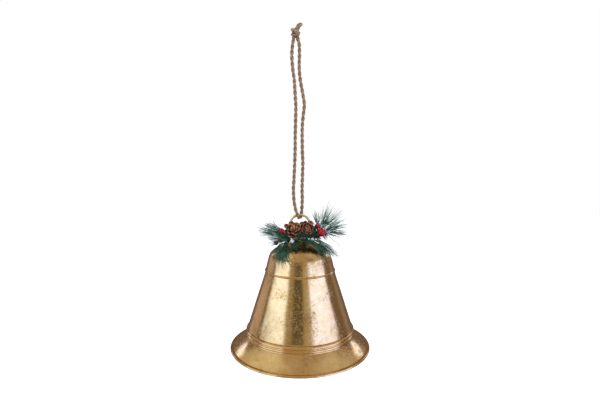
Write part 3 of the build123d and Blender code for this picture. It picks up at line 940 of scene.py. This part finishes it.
def sprig(node, seed, stems, sprays, flock):
    """One frosted pine sprig. Its places are in millimetres.

    stems: (base, bend, tip). sprays: (root, heading, half angle, forward, count, lengths, frost).
    flock: (middle, spread, count).
    """
    rng = random.Random(seed)
    shape = Shape()
    for base, bend, tip in stems:
        stem(shape, base, bend, tip)
    for root, heading, half_angle, forward, count, lengths, frost in sprays:
        spray(shape, rng, mm(*root), heading, half_angle, forward, count, lengths, frost)
    for middle, spread, count in flock:
        crumbs(shape, rng, middle, spread, count)
    shape.piece(node + "_needles", NEEDLE, "bell", "pine_green", node)


# Tones at the root and the tip of a needle.
# near-black roots: painted shade for needles deep in and under the cluster, over their own dark green
SHADED_GREEN = (0.0, 0.25)
DUSTED = (0.05, 0.45)
GREY_GREEN = (0.15, 0.66)
FROSTED = (0.30, 0.90)
WHITE_TIPPED = (0.35, 0.85)
SNOWY = (0.50, 1.0)

sprig(
    "sprig_left_upper", 21,
    [((-16, -5, 139), (-20, -7, 144), (-30, -8, 150))],
    [
        ((-21, -8, 146), 160, 8, 8, 52, (12, 23), GREY_GREEN),
        ((-26, -8, 149.5), 146, 14, 8, 46, (5, 11), SNOWY),
        ((-14, -8, 141.5), 158, 22, 20, 60, (8, 14), SHADED_GREEN),
    ],
    [((-27, -10, 148.5), (4, 2, 2.0), 30)],
)
sprig(
    "sprig_left_side", 22,
    [((-18, -10, 136.5), (-26, -12, 141), (-36, -12, 145))],
    [
        ((-18, -12, 141), 167, 8, 6, 56, (20, 36), GREY_GREEN),
        ((-19, -14, 138), 182, 18, 10, 56, (9, 19), FROSTED),
        ((-13, -14, 137.5), 180, 38, 30, 70, (7, 12), SHADED_GREEN),
    ],
    [((-27, -15, 138.5), (5, 2, 1.8), 30)],
)
sprig(
    "sprig_left_droop", 23,
    [((-13, -14, 134.5), (-16, -20, 134), (-18, -25, 130))],
    [
        ((-17, -18, 134), 264, 24, 24, 70, (15, 27), SHADED_GREEN),
        ((-22, -20, 133), 238, 18, 20, 40, (10, 18), DUSTED),
        ((-9, -18, 136), 290, 34, 34, 60, (5, 10), SHADED_GREEN),
        # dense near-black needles filling the gap under the cones: painted shade
        ((-6, -8, 140), 95, 85, 10, 190, (5, 9), SHADED_GREEN),
        ((1, -10, 140), 90, 85, 15, 210, (4, 8), SHADED_GREEN),
    ],
    [((-19.5, -22, 132.5), (2.5, 1, 1.0), 6)],
)
sprig(
    "sprig_right_upper", 24,
    [((16, -1, 139), (20, -3, 145), (27, -4, 151))],
    [
        ((22, -4, 152), 94, 20, 4, 34, (11, 18), WHITE_TIPPED),
        ((25, -4, 149.5), 58, 25, 4, 60, (18, 31), GREY_GREEN),
        ((22, -5, 147), 65, 50, 10, 50, (6, 11), FROSTED),
    ],
    [((26, -5, 152), (3.5, 1.5, 3), 16)],
)
sprig(
    "sprig_right_side", 25,
    [((17, -4, 136), (26, -6, 142), (33, -7, 145))],
    [
        ((30, -7, 146), 10, 32, 5, 64, (16, 29), GREY_GREEN),
        ((26, -9, 143.5), 355, 45, 15, 50, (6, 11), FROSTED),
        ((14, -8, 141), 40, 60, 10, 60, (5, 9), SHADED_GREEN),
    ],
    [((30, -10, 144.5), (3, 1.5, 3), 18)],
)
sprig(
    "sprig_right_lower", 26,
    [((17, -12, 136), (24, -15, 134), (31, -18, 130))],
    [
        ((21, -15, 136.5), 322, 9, 8, 54, (18, 34), FROSTED),
        ((12, -17, 136), 326, 9, 16, 70, (14, 26), SHADED_GREEN),
        ((7, -16, 138), 330, 40, 30, 50, (5, 9), SHADED_GREEN),
        # dense near-black needles filling the gap under the cones: painted shade
        ((9, -10, 140), 85, 85, 10, 210, (5, 9), SHADED_GREEN),
        ((18, -9, 141), 60, 85, 10, 130, (5, 9), SHADED_GREEN),
    ],
    [((15, -20, 138), (2.2, 1, 0.7), 12), ((26, -19, 134), (4, 1.5, 3), 14)],
)


# ================================================================ glue pad under the cluster
PAD_INNER_RADIUS = 6.6 * MM
PAD_OUTER_RADIUS = 0.75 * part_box("base_pad")[1].x
PAD_HEIGHT = 4.0 * MM
PAD_STEPS = 15


def crown_height(radius):
    """Height of the crown's surface at a radius from the axis."""
    return DOME_TOP - (CROWN_RADIUS - math.sqrt(CROWN_RADIUS**2 - radius**2))


def base_pad():
    """A lumpy ring of glue and tape, with scraps of bright moss pressed into its front."""
    rng = random.Random(41)
    outline = []
    for k in range(PAD_STEPS):
        share = k / (PAD_STEPS - 1)
        radius = lerp(PAD_INNER_RADIUS, PAD_OUTER_RADIUS, share)
        crest = PAD_HEIGHT * math.sin(math.pi * share) ** 0.8
        outline.append((radius, crown_height(radius) + 0.1 * MM + crest))
    for k in range(PAD_STEPS - 1, 0, -1):
        radius = lerp(PAD_INNER_RADIUS, PAD_OUTER_RADIUS, k / PAD_STEPS)
        outline.append((radius, crown_height(radius) + 0.08 * MM))

    def lumpy(point, angle, k):
        if k >= PAD_STEPS:
            return point
        lumps = noise.noise(point / (3.5 * MM)) * 0.9 * MM
        return point + Vector((0, 0, max(lumps, -0.4 * MM)))

    shape = Shape()
    shape.lathe(outline, 96, lumpy)
    for _ in range(70):
        turn = math.radians(rng.gauss(-82, 22))
        radius = rng.uniform(9, 12) * MM
        root = Vector((radius * math.cos(turn), radius * math.sin(turn), crown_height(radius) + PAD_HEIGHT))
        way = Vector((rng.uniform(-1, 1), rng.uniform(-1, 0.1), rng.uniform(0.0, 1.2))).normalized()
        reach = rng.uniform(2.0, 4.0) * MM
        bend = root + way * reach * 0.6 + Vector((0, 0, 0.8 * MM))
        strand = [bezier(root, bend, root + way * reach, step / 4) for step in range(5)]
        tone = 1.0 if rng.random() < 0.5 else 0.0
        shape.tube(strand, [0.35 * MM, 0.32 * MM, 0.28 * MM, 0.2 * MM, 0.1 * MM], 5, [tone] * 5, 0.5)
    shape.piece("cluster_pad", GLUE, "bell", "glue_pad", "base_pad")


base_pad()


# ================================================================ pieces that keep their CAD shape
def finish_cad_nodes():
    """Gives the pieces that are right as they are their materials."""
    finishes = {
        STEEL: ("outer_washer", "inner_washer", "push_nut", "clapper_link", "clapper_rod", "clapper_stop"),
        WIRE_BRASS: ("crown_eye",),
        IRON: ("clapper_ball",),
        GREEN_WIRE: ("floral_wire", "pinecone_wires", "berry_stems", "sprig_stems"),
    }
    for material, nodes in finishes.items():
        for node in nodes:
            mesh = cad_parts[node].data
            mesh.materials.clear()
            mesh.materials.append(material)


finish_cad_nodes()


# ================================================================ studio
CAMERA_DISTANCE = 0.520
CAMERA_HEIGHT = 0.2285
AIM_HEIGHT = 0.1837         # height that the camera looks at
LENS = 25.46                # focal length in mm, on a sensor 36 mm wide
LAMP_AIM_HEIGHT = 0.15
FLOOR_DROP = 0.35
FLOOR_REACH = 4.0


# What the metal mirrors: low and high turn, low and high rise, softness of the edges, brightness.
# Angles are in degrees: turn is 0 towards the camera and grows to the right, rise is above the horizon.
# They come from where the photograph's bands of light would be mirrored, rounded and adjusted,
# so this light is fitted to the photograph and isn't plain. The brightest panels are blue, which makes
# the gold's highlights pale. A later panel covers an earlier one.
ROOM = (0.17, 0.13, 0.11)
LEFT_BAND = (-91, -36)
RIGHT_BAND = (28, 88)
PANELS = (
    (-180, 180, 26, 90, 5, (0.41, 0.37, 0.36)),             # above
    (-128, -50, 34, 72, 16, (0.68, 0.70, 0.76)),            # a brighter part at the left
    (62, 120, 38, 72, 14, (0.56, 0.57, 0.66)),              # and at the right
    (-190, -150, 26, 64, 8, (0.17, 0.11, 0.06)),            # dark part behind the bell
    (150, 190, 26, 64, 8, (0.17, 0.11, 0.06)),
    (-139, -102, -50, 9, 4, (0.47, 0.42, 0.50)),            # low panels at the sides
    (118, 137, -50, 6, 4, (0.28, 0.25, 0.30)),
    (-40, 32, -50, 26, 3, (0.42, 0.39, 0.31)),              # towards the camera
    (-40, -10, 6, 26, 3, (0.31, 0.28, 0.22)),
    (-18, 8, 9, 24, 4, (0.075, 0.070, 0.075)),              # the dark streak in the middle
    (*LEFT_BAND, -55, 22, 2.5, (0.76, 0.92, 1.55)),         # the two broad bands of light
    (*RIGHT_BAND, -55, 24, 2.5, (1.02, 1.25, 2.70)),
    (*LEFT_BAND, 8, 22, 2.5, (1.30, 1.66, 3.00)),           # their brighter upper parts
    (*RIGHT_BAND, 8.5, 24, 2.5, (1.25, 1.64, 3.80)),
    (-140, -130, 12, 29, 2, (1.55, 1.80, 3.10)),            # the two streaks on the skirt
    (126, 138, 11, 29, 2, (1.60, 1.90, 3.30)),
    (-180, 180, -90, -52, 6, (0.50, 0.48, 0.44)),           # below
)
AMBIENT = (0.40, 0.41, 0.43)
WHITE = (1.0, 1.0, 1.0)


def studio():
    """Surroundings: mirrors see the panels, soft surfaces an even ambient, and the camera plain white."""
    world = bpy.data.worlds.new("studio")
    bpy.context.scene.world = world
    world.use_nodes = True
    n = Nodes(world.node_tree)
    n.tree.nodes.clear()

    def band(value, low, high, soft):
        """1 between low and high, falling to 0 over soft degrees on each side."""
        return n.math(
            "MULTIPLY", n.span(value, low - soft, low + soft), n.span(value, high + soft, high - soft)
        )

    def glow(colour):
        background = n.make("ShaderNodeBackground")
        n.feed(background.inputs["Color"], colour)
        return background.outputs[0]

    def choose(share, without, with_it):
        chooser = n.make("ShaderNodeMixShader")
        for socket, source in zip(chooser.inputs, (share, without, with_it)):
            n.join(source, socket)
        return chooser.outputs[0]

    split = n.make("ShaderNodeSeparateXYZ")
    n.join(n.make("ShaderNodeTexCoord").outputs["Generated"], split.inputs[0])
    to_camera = n.math("MULTIPLY", split.outputs["Y"], -1.0)
    turn = n.math("DEGREES", n.math("ARCTAN2", split.outputs["X"], to_camera))
    rise = n.math("DEGREES", n.math("ARCSINE", split.outputs["Z"]))
    mirrored = ROOM
    for low_turn, high_turn, low_rise, high_rise, soft, colour in PANELS:
        across = band(turn, low_turn, high_turn, soft)
        upward = band(rise, low_rise, high_rise, soft)
        mirrored = n.mix(n.math("MULTIPLY", across, upward), mirrored, colour)

    rays = n.make("ShaderNodeLightPath")
    lit = choose(rays.outputs["Is Diffuse Ray"], glow(mirrored), glow((*AMBIENT, 1.0)))
    seen = choose(rays.outputs["Is Camera Ray"], lit, glow((*WHITE, 1.0)))
    n.join(seen, n.make("ShaderNodeOutputWorld").inputs["Surface"])


def floor():
    """A white floor far below the hanging bell."""
    mesh = bpy.data.meshes.new("floor")
    signs = ((-1, -1), (1, -1), (1, 1), (-1, 1))
    corners = [(x * FLOOR_REACH, y * FLOOR_REACH, -FLOOR_DROP) for x, y in signs]
    mesh.from_pydata(corners, [], [(0, 1, 2, 3)])
    n = Finish("floor_white")
    n.set(Base_Color=(0.9, 0.9, 0.9), Roughness=0.9, Emission_Color=WHITE, Emission_Strength=0.8)
    mesh.materials.append(n.material)
    plane = bpy.data.objects.new("floor", mesh)
    bpy.context.scene.collection.objects.link(plane)
    plane.visible_glossy = False
    plane.visible_diffuse = False


def light(name, place, size, power, colour):
    """A square soft lamp aimed at the crown. The metal doesn't mirror it."""
    data = bpy.data.lights.new(name, "AREA")
    data.shape = "SQUARE"
    data.size = size
    data.energy = power
    data.color = colour
    lamp = bpy.data.objects.new(name, data)
    bpy.context.scene.collection.objects.link(lamp)
    lamp.location = place
    aim = Vector((0, 0, LAMP_AIM_HEIGHT)) - Vector(place)
    lamp.rotation_euler = aim.to_track_quat("-Z", "Y").to_euler()
    lamp.visible_glossy = False


def camera():
    data = bpy.data.cameras.new("camera")
    data.lens = LENS
    data.sensor_width = 36.0
    data.clip_start = 0.01
    eye = bpy.data.objects.new("camera", data)
    bpy.context.scene.collection.objects.link(eye)
    eye.location = (0, -CAMERA_DISTANCE, CAMERA_HEIGHT)
    aim = Vector((0, 0, AIM_HEIGHT)) - eye.location
    eye.rotation_euler = aim.to_track_quat("-Z", "Y").to_euler()
    bpy.context.scene.camera = eye


studio()
floor()
light("left_soft", (-0.55, -0.65, 0.55), 0.4, 7.0, (1.0, 0.98, 0.95))
light("right_soft", (0.6, -0.6, 0.5), 0.4, 7.0, (1.0, 0.99, 0.98))
light("top_soft", (0.05, -0.15, 0.95), 0.6, 5.0, (1.0, 0.98, 0.96))
camera()
bpy.context.scene.view_settings.view_transform = "Standard"
